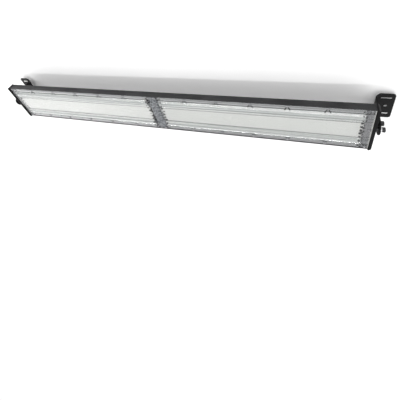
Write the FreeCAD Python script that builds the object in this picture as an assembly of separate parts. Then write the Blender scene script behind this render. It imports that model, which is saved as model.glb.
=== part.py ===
import FreeCAD, Part
import math
import os

# Linear high bay luminaire. Two LED modules lie end to end in one finned aluminium extrusion, behind two
# moulded lens panels. An L bracket at each end hangs it from a ceiling and lets it tilt about X.
#
# Frame while modelling: X along the lamp, Z up, z = 0 at the lower edge of the housing, mid length at x = 0.
# Every piece is exported shifted down by MOUNT_Z, so that the row's origin lies in the mounting plane.

V = FreeCAD.Vector
X_AXIS = V(1, 0, 0)
Y_AXIS = V(0, 1, 0)
Z_AXIS = V(0, 0, 1)

# ---- Driving dimensions, mm ----

CUT_MARGIN = 1.0              # a cutting shape passes the face that it opens by this much
TOUCHING = 1e-6               # nearer than this counts as the same place

# End caps
LAMP_LENGTH = 1200.0          # over both end caps
CAP_THICKNESS = 8.0
CAP_OVERHANG = 1.5            # the cap stands this far outside the housing at the sides
CAP_RISE = 0.5                # and this far above its side walls
CAP_CORNER = 5.0              # chamfer on the upright outer corners
CAP_EDGE = 1.0                # chamfer round the outer face
END_GASKET = 1.0

# Housing extrusion
HOUSING_WIDTH = 149.0
SIDE_HEIGHT = 20.0
SIDE_WALL = 3.0
SIDE_GROOVE_DEPTH = 0.8       # shallow band along the outside of each side wall
SIDE_GROOVE_LOW = 7.0
SIDE_GROOVE_HIGH = 13.5
BASE_Z = 9.0                  # underside of the base plate, where the LED boards lie
BASE_PLATE = 3.0
FIN_THICKNESS = 1.6
FIN_PITCH = 6.6
FIN_TOP = 20.0
SPINE_HALF_BASE = 30.0
SPINE_HALF_TOP = 26.0
SPINE_TOP = 52.0
SPINE_WALL = 2.5
SPINE_CORNER = 4.0
CHANNEL_TOP = 14.0            # top of the thick strip that holds the lens screws' channel
CHANNEL_WEB = 2.0

# Screws
PORT_SIDE_INSET = 23.0        # from the inside of the side wall
PORT_SIDE_Z = 13.5
PORT_SPINE_INSET = 3.5        # from the inside of the spine's wall, at the port's height
PORT_SPINE_Z = 44.0
PORT_WALL = 1.9
SCREW_CORE_R = 1.65
SCREW_GAP = 0.05              # between a thread core and its hole
SCREW_HOLE_R = 2.3            # clearance holes
HEAD_R = 3.7
HEAD_HEIGHT = 2.2
LENS_SCREW_LENGTH = 9.5
CAP_SCREW_LENGTH = 20.0
CAP_SINK = 1.0                # shallow seat under each cap screw's head
CAP_SINK_R = 4.4

# Lenses
LENS_RECESS = 1.0             # the lens border lies this far inside the housing's lower edge
LENS_WALL = 2.5
LENS_SIDE_GAP = 0.5
LENS_END_GAP = 0.5
LENS_END_FLANGE = 19.0
ROW_INSET = 28.5              # the middle of each LED row, from the inside of the side wall
DOME_HALF = 14.5
DOME_DEPTH = 6.0              # from the border's face to the dome's crest
CENTRE_DEPTH = 2.5            # from the border's face to the flat middle
LENS_GASKET = 2.0
GASKET_WIDTH = 4.4
GASKET_GAP = 0.1              # between the gasket and the step of its groove
SCREW_INSET = 4.5             # the long edges' screws, from the inside of the side wall
SCREW_LAND = 2.4              # flat land of the ledge, from the screws' middle to the gasket groove
SCREW_X_FIRST = 8.0
SCREW_X_LAST_INSET = 6.5      # the last screw, from the lens's outer end
SCREWS_PER_EDGE = 7
END_SCREW_INSET = 5.0         # the end flange's middle screw, from the lens's outer end

# Strip over the joint of the two lenses
STRIP_WIDTH = 26.0
STRIP_SIDE_GAP = 0.5          # from the strip's ends to the lens's long edges
STRIP_THICKNESS = 1.2

# LED boards, chips and reflectors
BOARD_WIDTH = 20.0
BOARD_THICKNESS = 1.6
BOARD_END_GAP = 3.0
CHIPS_PER_BOARD = 28
CHIP_SIZE = 3.5
CHIP_HEIGHT = 0.8
BOARD_SCREWS = 2
BOARD_SCREW_R = 1.2
BOARD_HEAD_R = 2.6
BOARD_HEAD_HEIGHT = 1.5
REFLECTOR_THICKNESS = 0.8
REFLECTOR_WINDOW = 9.0
REFLECTOR_SIDE_GAP = 0.6

# Driver gear inside the spine
DRIVER_LENGTH = 300.0
DRIVER_WIDTH = 46.0
DRIVER_HEIGHT = 24.0
DRIVER_GAP = 100.0            # between the two drivers
DRIVER_EDGE = 1.5
TERMINAL_LENGTH = 32.0
TERMINAL_WIDTH = 20.0
TERMINAL_HEIGHT = 16.0
TERMINAL_FROM_DRIVER = 50.0
TERMINAL_WAYS = 3
TERMINAL_SOCKET = 4.0
WIRE_R = 1.1
WIRE_HEIGHT = 8.0             # above the base plate

# Cable gland on the spine's top
GLAND_FROM_END = 120.0        # from the -X end cap's outer face
GLAND_THREAD_R = 10.0
GLAND_HOLE_GAP = 0.2
GLAND_FLATS = 24.0
GLAND_COLLAR = 6.0
GLAND_DOME_R = 11.4
GLAND_DOME_HEIGHT = 14.0
GLAND_BORE_R = 6.5
GLAND_SEAL_R = 5.0
GLAND_SEAL_LENGTH = 8.0
GLAND_NUT_HEIGHT = 5.0
GLAND_NUT_FLATS = 27.0
GLAND_THREAD_REACH = 4.0      # thread that stands above the collar, inside the cap
GLAND_STEM_PROUD = 1.0        # the thread passes the lock nut by this much
GLAND_SEAL_SINK = 1.0         # from the cap's crown down to the seal

# Brackets
BRACKET_THICKNESS = 3.0
BRACKET_DROP = 75.0           # from the mounting plane down to the tilt axis
FLANGE_REACH = 45.0           # from the leg's inner face to the flange's free edge
FLANGE_HALF_WIDTH = 43.0
FLANGE_CORNER_R = 7.0
FLANGE_CHAMFER_X = 9.0
FLANGE_CHAMFER_Y = 10.0
BEND_R = 2.0
LEG_TOP_HALF = 33.0
LEG_FOOT_R = 22.0
MOUNT_SLOT_LENGTH = 26.0
MOUNT_SLOT_WIDTH = 6.5
MOUNT_SLOT_Y = 28.0
MOUNT_SLOT_REACH = 25.0       # slot's middle, from the leg's inner face
HOOK_HOLE_R = 4.5
HOOK_HOLE_REACH = 27.0

# Tilt joint
TILT_Z = 16.0
TILT_RADIUS = 10.0            # from the tilt axis to each bolt
TILT_BACK_DEG = 75.0
TILT_FORTH_DEG = 10.0
BOLT_R = 4.0
BOLT_LENGTH = 20.0
BOLT_HEAD_R = 6.5
BOLT_HEAD_HEIGHT = 8.0
BOLT_HEAD_EDGE = 0.5          # chamfer round the head's outer face
BOLT_SOCKET_FLATS = 6.0
BOLT_SOCKET_DEPTH = 4.0
BOLT_SLOT_GAP = 0.3           # between a bolt and the wall of its arc slot
SLEEVE_LENGTH = 6.0
SLEEVE_R = 6.0
SLEEVE_GAP = 0.1
WASHER_R = 8.5
WASHER_THICKNESS = 1.6
SPRING_R = 7.0
SPRING_THICKNESS = 2.0
SPRING_SPLIT = 2.0
SLIDE_GAP = 0.05              # between the leg's flat faces and what they slide on

# ---- Places that follow from the sizes ----

HALF_LENGTH = LAMP_LENGTH / 2
CAP_INNER_X = HALF_LENGTH - CAP_THICKNESS
HOUSING_END_X = CAP_INNER_X - END_GASKET
HALF_WIDTH = HOUSING_WIDTH / 2
INNER_HALF = HALF_WIDTH - SIDE_WALL
BASE_TOP_Z = BASE_Z + BASE_PLATE
LENS_BACK_Z = LENS_RECESS + LENS_WALL
LEDGE_Z = LENS_BACK_Z + LENS_GASKET
SCREW_Y = INNER_HALF - SCREW_INSET
ROW_Y = INNER_HALF - ROW_INSET
GROOVE_Y = SCREW_Y - SCREW_LAND
GASKET_OUTER_Y = GROOVE_Y - GASKET_GAP
GASKET_INNER_Y = GASKET_OUTER_Y - GASKET_WIDTH
SIDE_PORT = (INNER_HALF - PORT_SIDE_INSET, PORT_SIDE_Z)
SPINE_SLOPE = (SPINE_HALF_BASE - SPINE_HALF_TOP) / (SPINE_TOP - BASE_TOP_Z)
SPINE_INSIDE_AT_PORT = SPINE_HALF_BASE - SPINE_SLOPE * (PORT_SPINE_Z - BASE_TOP_Z) - SPINE_WALL
SPINE_PORT = (SPINE_INSIDE_AT_PORT - PORT_SPINE_INSET, PORT_SPINE_Z)
CHANNEL_HALF = SCREW_CORE_R + SCREW_GAP
CHANNEL_ROOT_Z = CHANNEL_TOP - CHANNEL_WEB
LENS_INNER_X = LENS_END_GAP
LENS_OUTER_X = HOUSING_END_X - LENS_END_GAP
LENS_HALF = INNER_HALF - LENS_SIDE_GAP
LENS_RAISED_X0 = LENS_INNER_X + LENS_END_FLANGE
LENS_RAISED_X1 = LENS_OUTER_X - LENS_END_FLANGE
END_SCREW_X = LENS_OUTER_X - END_SCREW_INSET
SCREW_PITCH = (LENS_OUTER_X - SCREW_X_LAST_INSET - SCREW_X_FIRST) / (SCREWS_PER_EDGE - 1)
SCREW_XS = [SCREW_X_FIRST + SCREW_PITCH * k for k in range(SCREWS_PER_EDGE)]
GROOVE_OUTER_X = END_SCREW_X - SCREW_LAND
GROOVE_INNER_X = SCREW_X_FIRST + SCREW_LAND
GASKET_OUTER_X = GROOVE_OUTER_X - GASKET_GAP
GASKET_INNER_X = GROOVE_INNER_X + GASKET_GAP
BOARD_X0 = LENS_RAISED_X0 + BOARD_END_GAP
BOARD_X1 = LENS_RAISED_X1 - BOARD_END_GAP
BOARD_FACE_Z = BASE_Z - BOARD_THICKNESS
STRIP_HALF = LENS_HALF - STRIP_SIDE_GAP
GLAND_X = GLAND_FROM_END - HALF_LENGTH
CHIP_PITCH = (BOARD_X1 - BOARD_X0) / CHIPS_PER_BOARD
MOUNT_Z = TILT_Z + BRACKET_DROP
LEG_INNER_X = HALF_LENGTH + SLEEVE_LENGTH + SLIDE_GAP
LEG_OUTER_X = LEG_INNER_X + BRACKET_THICKNESS
FLANGE_EDGE_X = LEG_INNER_X + FLANGE_REACH
FLANGE_UNDER_Z = MOUNT_Z - BRACKET_THICKNESS
WASHER_X = LEG_OUTER_X + SLIDE_GAP
SPRING_X = WASHER_X + WASHER_THICKNESS
BOLT_SEAT_X = SPRING_X + SPRING_THICKNESS
BOLT_TIP_X = BOLT_SEAT_X - BOLT_LENGTH
BOLT_ZS = [TILT_Z - TILT_RADIUS, TILT_Z + TILT_RADIUS]
DRIVER_X0 = DRIVER_GAP / 2
GLAND_STEM_FOOT = SPINE_TOP - SPINE_WALL - GLAND_NUT_HEIGHT - GLAND_STEM_PROUD
GLAND_STEM_LENGTH = SPINE_TOP + GLAND_COLLAR + GLAND_THREAD_REACH - GLAND_STEM_FOOT
GLAND_CROWN_EDGE = (GLAND_DOME_R - GLAND_BORE_R) / 2


# ---- Helpers ----

def box(x0, x1, y0, y1, z0, z1):
    return Part.makeBox(x1 - x0, y1 - y0, z1 - z0, V(x0, y0, z0))


def rod(radius, start, direction, length):
    return Part.makeCylinder(radius, length, start, direction)


def tube(outer, inner, start, direction, length):
    return rod(outer, start, direction, length).cut(rod(inner, start, direction, length))


def yz_prism(points, x0, x1):
    """Extrude a closed outline of (y, z) points from x0 to x1."""
    wire = Part.makePolygon([V(x0, y, z) for y, z in points + points[:1]])
    return Part.Face(wire).extrude(V(x1 - x0, 0, 0))


def hexagon(flats, start, direction, length):
    """Hexagonal prism by its width over the flats."""
    corner = flats / math.sqrt(3)
    points = [V(corner * math.cos(math.radians(60 * k)), corner * math.sin(math.radians(60 * k)), 0)
              for k in range(7)]
    solid = Part.Face(Part.makePolygon(points)).extrude(V(0, 0, length))
    solid.Placement = FreeCAD.Placement(start, FreeCAD.Rotation(Z_AXIS, direction))
    return solid


def mirror_x(shape):
    return shape.mirror(V(0, 0, 0), X_AXIS)


def both_ends(shapes):
    return shapes + [mirror_x(shape) for shape in shapes]


def screw(head_r, head_height, core_r, length, seat, direction):
    """Thread-forming screw: the head stands back from its seat, and the lobed shank runs along direction."""
    head = rod(head_r, V(0, 0, -head_height), Z_AXIS, head_height)
    shank = hexagon(core_r * math.sqrt(3), V(0, 0, 0), Z_AXIS, length)
    solid = head.fuse(shank).removeSplitter()
    solid.Placement = FreeCAD.Placement(seat, FreeCAD.Rotation(Z_AXIS, direction))
    return solid


# ---- Housing ----

def spine_half(z):
    """Outer half width of the spine at height z."""
    return SPINE_HALF_BASE - SPINE_SLOPE * (z - BASE_TOP_Z)


def housing_outline():
    """Outer outline of the extrusion's section, from the lens side up over the spine."""
    groove = HALF_WIDTH - SIDE_GROOVE_DEPTH
    right = [
        (INNER_HALF, 0),
        (HALF_WIDTH, 0),
        (HALF_WIDTH, SIDE_GROOVE_LOW - SIDE_GROOVE_DEPTH),
        (groove, SIDE_GROOVE_LOW),
        (groove, SIDE_GROOVE_HIGH),
        (HALF_WIDTH, SIDE_GROOVE_HIGH + SIDE_GROOVE_DEPTH),
        (HALF_WIDTH, SIDE_HEIGHT),
        (INNER_HALF, SIDE_HEIGHT),
        (INNER_HALF, CHANNEL_TOP),
        (GASKET_INNER_Y, CHANNEL_TOP),
        (GASKET_INNER_Y, BASE_TOP_Z),
        (SPINE_HALF_BASE, BASE_TOP_Z),
        (spine_half(SPINE_TOP - SPINE_CORNER), SPINE_TOP - SPINE_CORNER),
        (SPINE_HALF_TOP - SPINE_CORNER, SPINE_TOP),
    ]
    under = [
        (GASKET_INNER_Y, BASE_Z),
        (GASKET_INNER_Y, LEDGE_Z),
        (GROOVE_Y, LEDGE_Z),
        (GROOVE_Y, LENS_BACK_Z),
        (SCREW_Y - CHANNEL_HALF, LENS_BACK_Z),
        (SCREW_Y - CHANNEL_HALF, CHANNEL_ROOT_Z),
        (SCREW_Y + CHANNEL_HALF, CHANNEL_ROOT_Z),
        (SCREW_Y + CHANNEL_HALF, LENS_BACK_Z),
        (INNER_HALF, LENS_BACK_Z),
    ]
    half = under + right
    return half + [(-y, z) for y, z in reversed(half)]


def cap_screw_points():
    return [(side * y, z) for side in (-1, 1) for y, z in (SIDE_PORT, SPINE_PORT)]


def port(y, z):
    """Round screw port of the extrusion, with its wall."""
    return rod(SCREW_CORE_R + SCREW_GAP + PORT_WALL, V(-HOUSING_END_X, y, z), X_AXIS, 2 * HOUSING_END_X)


def fin_positions():
    first = SPINE_HALF_BASE + FIN_PITCH
    count = int((GASKET_INNER_Y - first) / FIN_PITCH) + 1
    return [first + FIN_PITCH * k for k in range(count)]


def board_screw_points():
    """Board screws lie halfway between two chips, spread along the board."""
    points = []
    for k in range(BOARD_SCREWS):
        chip = round((k + 0.5) * CHIPS_PER_BOARD / BOARD_SCREWS)
        points.append(BOARD_X0 + CHIP_PITCH * chip)
    return points


def make_housing():
    x0, x1 = -HOUSING_END_X, HOUSING_END_X
    body = yz_prism(housing_outline(), x0, x1)
    inside_top = SPINE_TOP - SPINE_WALL
    corner = SPINE_CORNER - SPINE_WALL / 2
    hollow = [
        (SPINE_HALF_BASE - SPINE_WALL, BASE_TOP_Z),
        (spine_half(inside_top - corner) - SPINE_WALL, inside_top - corner),
        (spine_half(inside_top) - SPINE_WALL - corner, inside_top),
    ]
    body = body.cut(yz_prism(hollow + [(-y, z) for y, z in reversed(hollow)], x0, x1))
    added = []
    for y in fin_positions():
        for side in (-1, 1):
            middle = side * y
            added.append(box(x0, x1, middle - FIN_THICKNESS / 2, middle + FIN_THICKNESS / 2,
                             BASE_TOP_Z - FIN_THICKNESS / 2, FIN_TOP))
    for y, z in cap_screw_points():
        added.append(port(y, z))
    body = body.fuse(added)
    holes = [rod(SCREW_CORE_R + SCREW_GAP, V(x0, y, z), X_AXIS, x1 - x0) for y, z in cap_screw_points()]
    holes.append(rod(GLAND_THREAD_R + GLAND_HOLE_GAP, V(GLAND_X, 0, inside_top - CUT_MARGIN), Z_AXIS,
                     SPINE_WALL + 2 * CUT_MARGIN))
    for x in board_screw_points():
        for end in (-1, 1):
            for side in (-1, 1):
                holes.append(rod(BOARD_SCREW_R + SCREW_GAP, V(end * x, side * ROW_Y, BASE_Z), Z_AXIS, BASE_PLATE))
    for end in (-1, 1):
        holes.append(rod(SCREW_CORE_R + SCREW_GAP, V(end * END_SCREW_X, 0, BASE_Z), Z_AXIS, BASE_PLATE))
    return body.cut(holes).removeSplitter()


# ---- End caps ----

def cap_outline(grow):
    """Outline of an end cap, or of its gasket with grow negative: the side band and the hump over the spine."""
    half = HALF_WIDTH + CAP_OVERHANG + grow
    top = SIDE_HEIGHT + CAP_RISE + grow
    foot = -grow
    hump_top = SPINE_TOP + CAP_OVERHANG + grow
    hump_base = SPINE_HALF_BASE + CAP_OVERHANG + grow
    hump_half = SPINE_HALF_TOP + CAP_OVERHANG + grow
    right = [
        (half, foot),
        (half, top),
        (hump_base, top),
        (hump_half, hump_top - SPINE_CORNER),
        (hump_half - SPINE_CORNER, hump_top),
    ]
    return right + [(-y, z) for y, z in reversed(right)]


def make_end_cap():
    """The +X cap: a cast plate whose upright corners and outer face are chamfered."""
    cap = yz_prism(cap_outline(0), CAP_INNER_X, HALF_LENGTH)
    half = HALF_WIDTH + CAP_OVERHANG
    for side in (-1, 1):
        corner = Part.makePolygon([
            V(HALF_LENGTH, side * (half - CAP_CORNER), -CUT_MARGIN),
            V(HALF_LENGTH + CUT_MARGIN, side * (half - CAP_CORNER), -CUT_MARGIN),
            V(HALF_LENGTH + CUT_MARGIN, side * (half + CUT_MARGIN), -CUT_MARGIN),
            V(HALF_LENGTH - CAP_CORNER, side * (half + CUT_MARGIN), -CUT_MARGIN),
            V(HALF_LENGTH - CAP_CORNER, side * half, -CUT_MARGIN),
            V(HALF_LENGTH, side * (half - CAP_CORNER), -CUT_MARGIN),
        ])
        cap = cap.cut(Part.Face(corner).extrude(V(0, 0, SIDE_HEIGHT + CAP_RISE + 2 * CUT_MARGIN)))
    rim = [edge for edge in cap.Edges
           if all(abs(v.X - HALF_LENGTH) < TOUCHING for v in edge.Vertexes) and edge.BoundBox.ZMin > -TOUCHING
           and edge.BoundBox.YLength > TOUCHING]
    cap = cap.makeChamfer(CAP_EDGE, rim)
    holes = []
    for y, z in cap_screw_points():
        holes.append(rod(SCREW_HOLE_R, V(CAP_INNER_X, y, z), X_AXIS, CAP_THICKNESS))
        holes.append(rod(CAP_SINK_R, V(HALF_LENGTH - CAP_SINK, y, z), X_AXIS, CAP_SINK))
    for z in BOLT_ZS:
        holes.append(rod(BOLT_R + SCREW_GAP, V(CAP_INNER_X, 0, z), X_AXIS, CAP_THICKNESS))
    return cap.cut(holes)


def make_end_gasket():
    """The +X gasket: a sheet between the cap and the sawn end of the housing."""
    sheet = yz_prism(cap_outline(-CAP_OVERHANG), HOUSING_END_X, CAP_INNER_X)
    holes = [rod(SCREW_HOLE_R, V(HOUSING_END_X, y, z), X_AXIS, END_GASKET) for y, z in cap_screw_points()]
    return sheet.cut(holes)


def make_cap_screws():
    return both_ends([screw(HEAD_R, HEAD_HEIGHT, SCREW_CORE_R, CAP_SCREW_LENGTH,
                            V(HALF_LENGTH - CAP_SINK, y, z), V(-1, 0, 0)) for y, z in cap_screw_points()])


# ---- Lenses ----

def circle_through(a, b, c):
    """Centre and radius of the circle through three (y, z) points."""
    (ay, az), (by, bz), (cy, cz) = a, b, c
    d = 2 * (ay * (bz - cz) + by * (cz - az) + cy * (az - bz))
    a2, b2, c2 = ay * ay + az * az, by * by + bz * bz, cy * cy + cz * cz
    uy = (a2 * (bz - cz) + b2 * (cz - az) + c2 * (az - bz)) / d
    uz = (a2 * (cy - by) + b2 * (ay - cy) + c2 * (by - ay)) / d
    return uy, uz, math.hypot(ay - uy, az - uz)


def lens_section(wall, back):
    """Wire, at x = 0, round what the lens bulges out to, taken inward by wall and closed at height back."""
    outer = (ROW_Y + DOME_HALF, LENS_RECESS)
    crest = (ROW_Y, LENS_RECESS - DOME_DEPTH)
    inner = (ROW_Y - DOME_HALF, LENS_RECESS - CENTRE_DEPTH)
    uy, uz, radius = circle_through(outer, crest, inner)
    radius -= wall
    flat = LENS_RECESS - CENTRE_DEPTH + wall
    rim = LENS_RECESS + wall
    y_rim = uy + math.sqrt(radius ** 2 - (rim - uz) ** 2)
    y_flat = uy - math.sqrt(radius ** 2 - (flat - uz) ** 2)
    z_crest = uz - radius
    edges = []
    for side in (-1, 1):
        edges.append(Part.makeLine(V(0, side * y_rim, back), V(0, side * y_rim, rim)))
        edges.append(Part.Arc(V(0, side * y_rim, rim), V(0, side * uy, z_crest),
                              V(0, side * y_flat, flat)).toShape())
    edges.append(Part.makeLine(V(0, -y_flat, flat), V(0, y_flat, flat)))
    edges.append(Part.makeLine(V(0, -y_rim, back), V(0, y_rim, back)))
    return Part.Wire(Part.__sortEdges__(edges))


def make_lens():
    """The +X lens: a flat border with a closed moulding that domes over each LED row."""
    border = box(LENS_INNER_X, LENS_OUTER_X, -LENS_HALF, LENS_HALF, LENS_RECESS, LENS_BACK_Z)
    raised = Part.Face(lens_section(0, LENS_RECESS + LENS_WALL / 2)).extrude(V(LENS_RAISED_X1 - LENS_RAISED_X0, 0, 0))
    raised.translate(V(LENS_RAISED_X0, 0, 0))
    cavity = Part.Face(lens_section(LENS_WALL, LENS_BACK_Z + CUT_MARGIN)).extrude(
        V(LENS_RAISED_X1 - LENS_RAISED_X0 - 2 * LENS_WALL, 0, 0))
    cavity.translate(V(LENS_RAISED_X0 + LENS_WALL, 0, 0))
    lens = border.fuse(raised).cut(cavity)
    holes = [rod(SCREW_HOLE_R, V(x, side * SCREW_Y, LENS_RECESS), Z_AXIS, LENS_WALL)
             for x in SCREW_XS for side in (-1, 1)]
    holes.append(rod(SCREW_HOLE_R, V(END_SCREW_X, 0, LENS_RECESS), Z_AXIS, LENS_WALL))
    return lens.cut(holes).removeSplitter()


def make_lens_gasket():
    """The +X lens gasket: a closed frame of foam in the groove inside the screws."""
    frame = box(GASKET_INNER_X, GASKET_OUTER_X, -GASKET_OUTER_Y, GASKET_OUTER_Y, LENS_BACK_Z, LEDGE_Z)
    return frame.cut(box(GASKET_INNER_X + GASKET_WIDTH, GASKET_OUTER_X - GASKET_WIDTH, -GASKET_INNER_Y,
                         GASKET_INNER_Y, LENS_BACK_Z, LEDGE_Z))


def make_end_rail():
    """The +X cross rail: its groove carries the gasket across the end and its land takes the end screw."""
    rail = box(GASKET_OUTER_X - GASKET_WIDTH, LENS_OUTER_X, -GASKET_INNER_Y, GASKET_INNER_Y, LENS_BACK_Z, BASE_Z)
    groove = box(GASKET_OUTER_X - GASKET_WIDTH, GROOVE_OUTER_X, -GASKET_INNER_Y, GASKET_INNER_Y,
                 LENS_BACK_Z, LEDGE_Z)
    hole = rod(SCREW_CORE_R + SCREW_GAP, V(END_SCREW_X, 0, LENS_BACK_Z), Z_AXIS, BASE_Z - LENS_BACK_Z)
    return rail.cut([groove, hole])


def make_centre_rail():
    """Cross rail under the facing ends of both lenses, with a gasket groove on each side of its land."""
    half = GASKET_INNER_X + GASKET_WIDTH
    rail = box(-half, half, -GASKET_INNER_Y, GASKET_INNER_Y, LENS_BACK_Z, BASE_Z)
    grooves = [box(x0, x1, -GASKET_INNER_Y, GASKET_INNER_Y, LENS_BACK_Z, LEDGE_Z)
               for x0, x1 in ((-half, -GROOVE_INNER_X), (GROOVE_INNER_X, half))]
    return rail.cut(grooves)


def make_joint_strip():
    """Plate under the screws nearest the middle: it holds the facing ends of both lenses."""
    half = STRIP_WIDTH / 2
    strip = box(-half, half, -STRIP_HALF, STRIP_HALF, LENS_RECESS - STRIP_THICKNESS, LENS_RECESS)
    upright = [edge for edge in strip.Edges if edge.BoundBox.ZLength > STRIP_THICKNESS / 2]
    strip = strip.makeFillet(STRIP_THICKNESS, upright)
    holes = [rod(SCREW_HOLE_R, V(end * SCREW_X_FIRST, side * SCREW_Y, LENS_RECESS - STRIP_THICKNESS), Z_AXIS,
                 STRIP_THICKNESS) for end in (-1, 1) for side in (-1, 1)]
    return strip.cut(holes)


def make_lens_screws():
    screws = []
    for k, x in enumerate(SCREW_XS):
        seat_z = LENS_RECESS - STRIP_THICKNESS if k == 0 else LENS_RECESS
        for side in (-1, 1):
            screws.append(screw(HEAD_R, HEAD_HEIGHT, SCREW_CORE_R, LENS_SCREW_LENGTH,
                                V(x, side * SCREW_Y, seat_z), Z_AXIS))
    screws.append(screw(HEAD_R, HEAD_HEIGHT, SCREW_CORE_R, LENS_SCREW_LENGTH, V(END_SCREW_X, 0, LENS_RECESS), Z_AXIS))
    return both_ends(screws)


# ---- LED boards ----

def make_board(side):
    """A +X board under one LED row, with its screw holes."""
    middle = side * ROW_Y
    board = box(BOARD_X0, BOARD_X1, middle - BOARD_WIDTH / 2, middle + BOARD_WIDTH / 2, BOARD_FACE_Z, BASE_Z)
    holes = [rod(BOARD_SCREW_R + SCREW_GAP, V(x, middle, BOARD_FACE_Z), Z_AXIS, BOARD_THICKNESS)
             for x in board_screw_points()]
    return board.cut(holes)


def make_chips(side):
    """The LED packages of one +X board."""
    chips = []
    for k in range(CHIPS_PER_BOARD):
        x = BOARD_X0 + CHIP_PITCH * (k + 0.5)
        chips.append(box(x - CHIP_SIZE / 2, x + CHIP_SIZE / 2, side * ROW_Y - CHIP_SIZE / 2,
                         side * ROW_Y + CHIP_SIZE / 2, BOARD_FACE_Z - CHIP_HEIGHT, BOARD_FACE_Z))
    return chips


def make_board_screws():
    return both_ends([screw(BOARD_HEAD_R, BOARD_HEAD_HEIGHT, BOARD_SCREW_R, BOARD_THICKNESS + BASE_PLATE,
                            V(x, side * ROW_Y, BOARD_FACE_Z), Z_AXIS)
                      for x in board_screw_points() for side in (-1, 1)])


def make_reflector():
    """The +X white sheet that lies on both boards, with one window along each LED row."""
    half = GASKET_INNER_Y - REFLECTOR_SIDE_GAP
    sheet = box(BOARD_X0, BOARD_X1, -half, half, BOARD_FACE_Z - REFLECTOR_THICKNESS, BOARD_FACE_Z)
    windows = [box(BOARD_X0 + CHIP_SIZE, BOARD_X1 - CHIP_SIZE, side * ROW_Y - REFLECTOR_WINDOW / 2,
                   side * ROW_Y + REFLECTOR_WINDOW / 2, BOARD_FACE_Z - REFLECTOR_THICKNESS, BOARD_FACE_Z)
               for side in (-1, 1)]
    return sheet.cut(windows)


# ---- Driver gear ----

def make_driver():
    """The +X driver: a closed case that slides into the spine."""
    case = box(DRIVER_X0, DRIVER_X0 + DRIVER_LENGTH, -DRIVER_WIDTH / 2, DRIVER_WIDTH / 2, BASE_TOP_Z,
               BASE_TOP_Z + DRIVER_HEIGHT)
    long_edges = [edge for edge in case.Edges if edge.BoundBox.XLength > DRIVER_LENGTH / 2]
    return case.makeChamfer(DRIVER_EDGE, long_edges)


def terminal_x1():
    return -(DRIVER_X0 + DRIVER_LENGTH + TERMINAL_FROM_DRIVER)


def wire_ys():
    return [TERMINAL_WIDTH / TERMINAL_WAYS * (k - (TERMINAL_WAYS - 1) / 2) for k in range(TERMINAL_WAYS)]


def make_terminal_block():
    """Open-mouthed terminal block for the supply, beside the left driver."""
    x1 = terminal_x1()
    x0 = x1 - TERMINAL_LENGTH
    block = box(x0, x1, -TERMINAL_WIDTH / 2, TERMINAL_WIDTH / 2, BASE_TOP_Z, BASE_TOP_Z + TERMINAL_HEIGHT)
    half = TERMINAL_SOCKET / 2
    z = BASE_TOP_Z + WIRE_HEIGHT
    mouths = [box(x0, x0 + TERMINAL_LENGTH / 2, y - half, y + half, z - half, z + half) for y in wire_ys()]
    return block.cut(mouths)


def make_internal_wires():
    """Conductors from the terminal block to the left driver, and on to the right one."""
    z = BASE_TOP_Z + WIRE_HEIGHT
    wires = []
    for y in wire_ys():
        wires.append(rod(WIRE_R, V(terminal_x1(), y, z), X_AXIS, TERMINAL_FROM_DRIVER))
        wires.append(rod(WIRE_R, V(-DRIVER_X0, y, z), X_AXIS, DRIVER_GAP))
    return wires


# ---- Cable gland ----

def make_gland_body():
    """Threaded tube through the spine's top, with its hexagon collar outside."""
    foot = V(GLAND_X, 0, GLAND_STEM_FOOT)
    stem = rod(GLAND_THREAD_R, foot, Z_AXIS, GLAND_STEM_LENGTH)
    collar = hexagon(GLAND_FLATS, V(GLAND_X, 0, SPINE_TOP), Z_AXIS, GLAND_COLLAR)
    bore = rod(GLAND_BORE_R, foot, Z_AXIS, GLAND_STEM_LENGTH)
    return stem.fuse(collar).cut(bore)


def make_gland_cap():
    """Domed cap nut that squeezes the seal."""
    base = SPINE_TOP + GLAND_COLLAR
    top = base + GLAND_DOME_HEIGHT
    nut = hexagon(GLAND_FLATS, V(GLAND_X, 0, base), Z_AXIS, GLAND_DOME_HEIGHT / 2)
    dome = rod(GLAND_DOME_R, V(GLAND_X, 0, base), Z_AXIS, GLAND_DOME_HEIGHT)
    crown = [edge for edge in dome.Edges if abs(edge.BoundBox.ZMin - top) < TOUCHING]
    dome = dome.makeChamfer(GLAND_CROWN_EDGE, crown)
    solid = nut.fuse(dome)
    solid = solid.cut(rod(GLAND_BORE_R, V(GLAND_X, 0, base), Z_AXIS, GLAND_DOME_HEIGHT))
    return solid.cut(rod(GLAND_THREAD_R + SCREW_GAP, V(GLAND_X, 0, base), Z_AXIS, GLAND_THREAD_REACH))


def make_gland_seal():
    """Rubber ring that grips the supply cable."""
    base = SPINE_TOP + GLAND_COLLAR + GLAND_DOME_HEIGHT - GLAND_SEAL_LENGTH - GLAND_SEAL_SINK
    return tube(GLAND_BORE_R, GLAND_SEAL_R, V(GLAND_X, 0, base), Z_AXIS, GLAND_SEAL_LENGTH)


def make_gland_nut():
    """Lock nut inside the spine."""
    base = SPINE_TOP - SPINE_WALL - GLAND_NUT_HEIGHT
    nut = hexagon(GLAND_NUT_FLATS, V(GLAND_X, 0, base), Z_AXIS, GLAND_NUT_HEIGHT)
    return nut.cut(rod(GLAND_THREAD_R + SCREW_GAP, V(GLAND_X, 0, base), Z_AXIS, GLAND_NUT_HEIGHT))


# ---- Brackets and the tilt joint ----

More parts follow.
